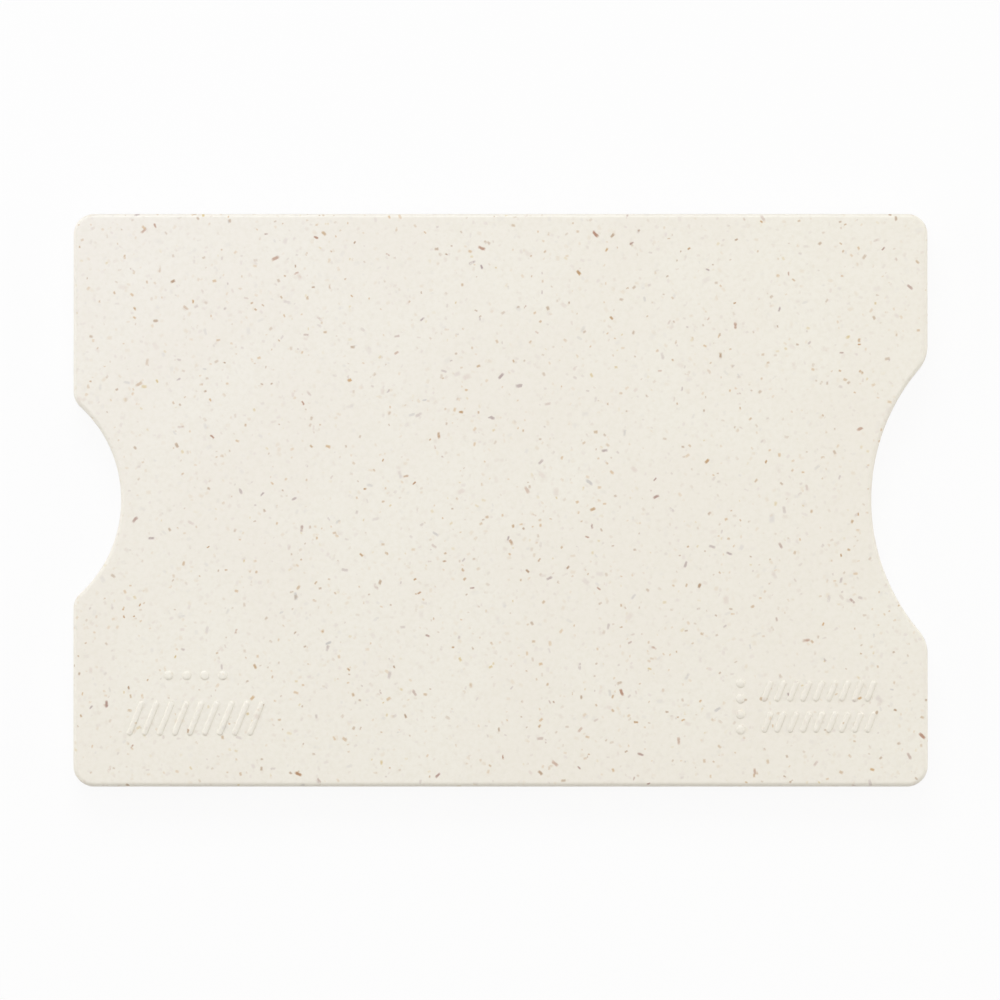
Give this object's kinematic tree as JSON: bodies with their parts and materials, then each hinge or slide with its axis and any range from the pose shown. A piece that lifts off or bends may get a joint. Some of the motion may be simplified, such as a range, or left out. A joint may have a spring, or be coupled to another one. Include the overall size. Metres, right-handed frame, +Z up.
{
  "type": "credit card holder",
  "caption": "Flat hard sleeve for one payment card, with a thumb notch in each short end, a slot open at one end and shielding foil inside both walls.",
  "frame": {"origin": "centre of the bounding box's bottom face, which is the middle of the flat back face that the holder lies on", "axes": "+X along the holder's length towards the mouth with the larger thumb notch, +Y across its width, +Z up through its thickness towards the front face with the grip marks"},
  "size_m": [0.088, 0.059, 0.0042],
  "materials": {
    "straw_plastic": "satin moulded plastic in warm off-white, filled with ground straw that shows as fine tan, brown and grey specks and short fibres",
    "shield_foil": "thin rolled aluminium, faintly lined",
    "liner_film": "clear polyester wear film",
    "adhesive_film": "milky acrylic adhesive film"
  },
  "bodies": {
    "root": {"front_shell": "straw_plastic", "back_shell": "straw_plastic", "front_foil": "shield_foil", "back_foil": "shield_foil", "front_adhesive_film": "adhesive_film", "back_adhesive_film": "adhesive_film", "front_liner_film": "liner_film", "back_liner_film": "liner_film"}
  },
  "joints": []
}
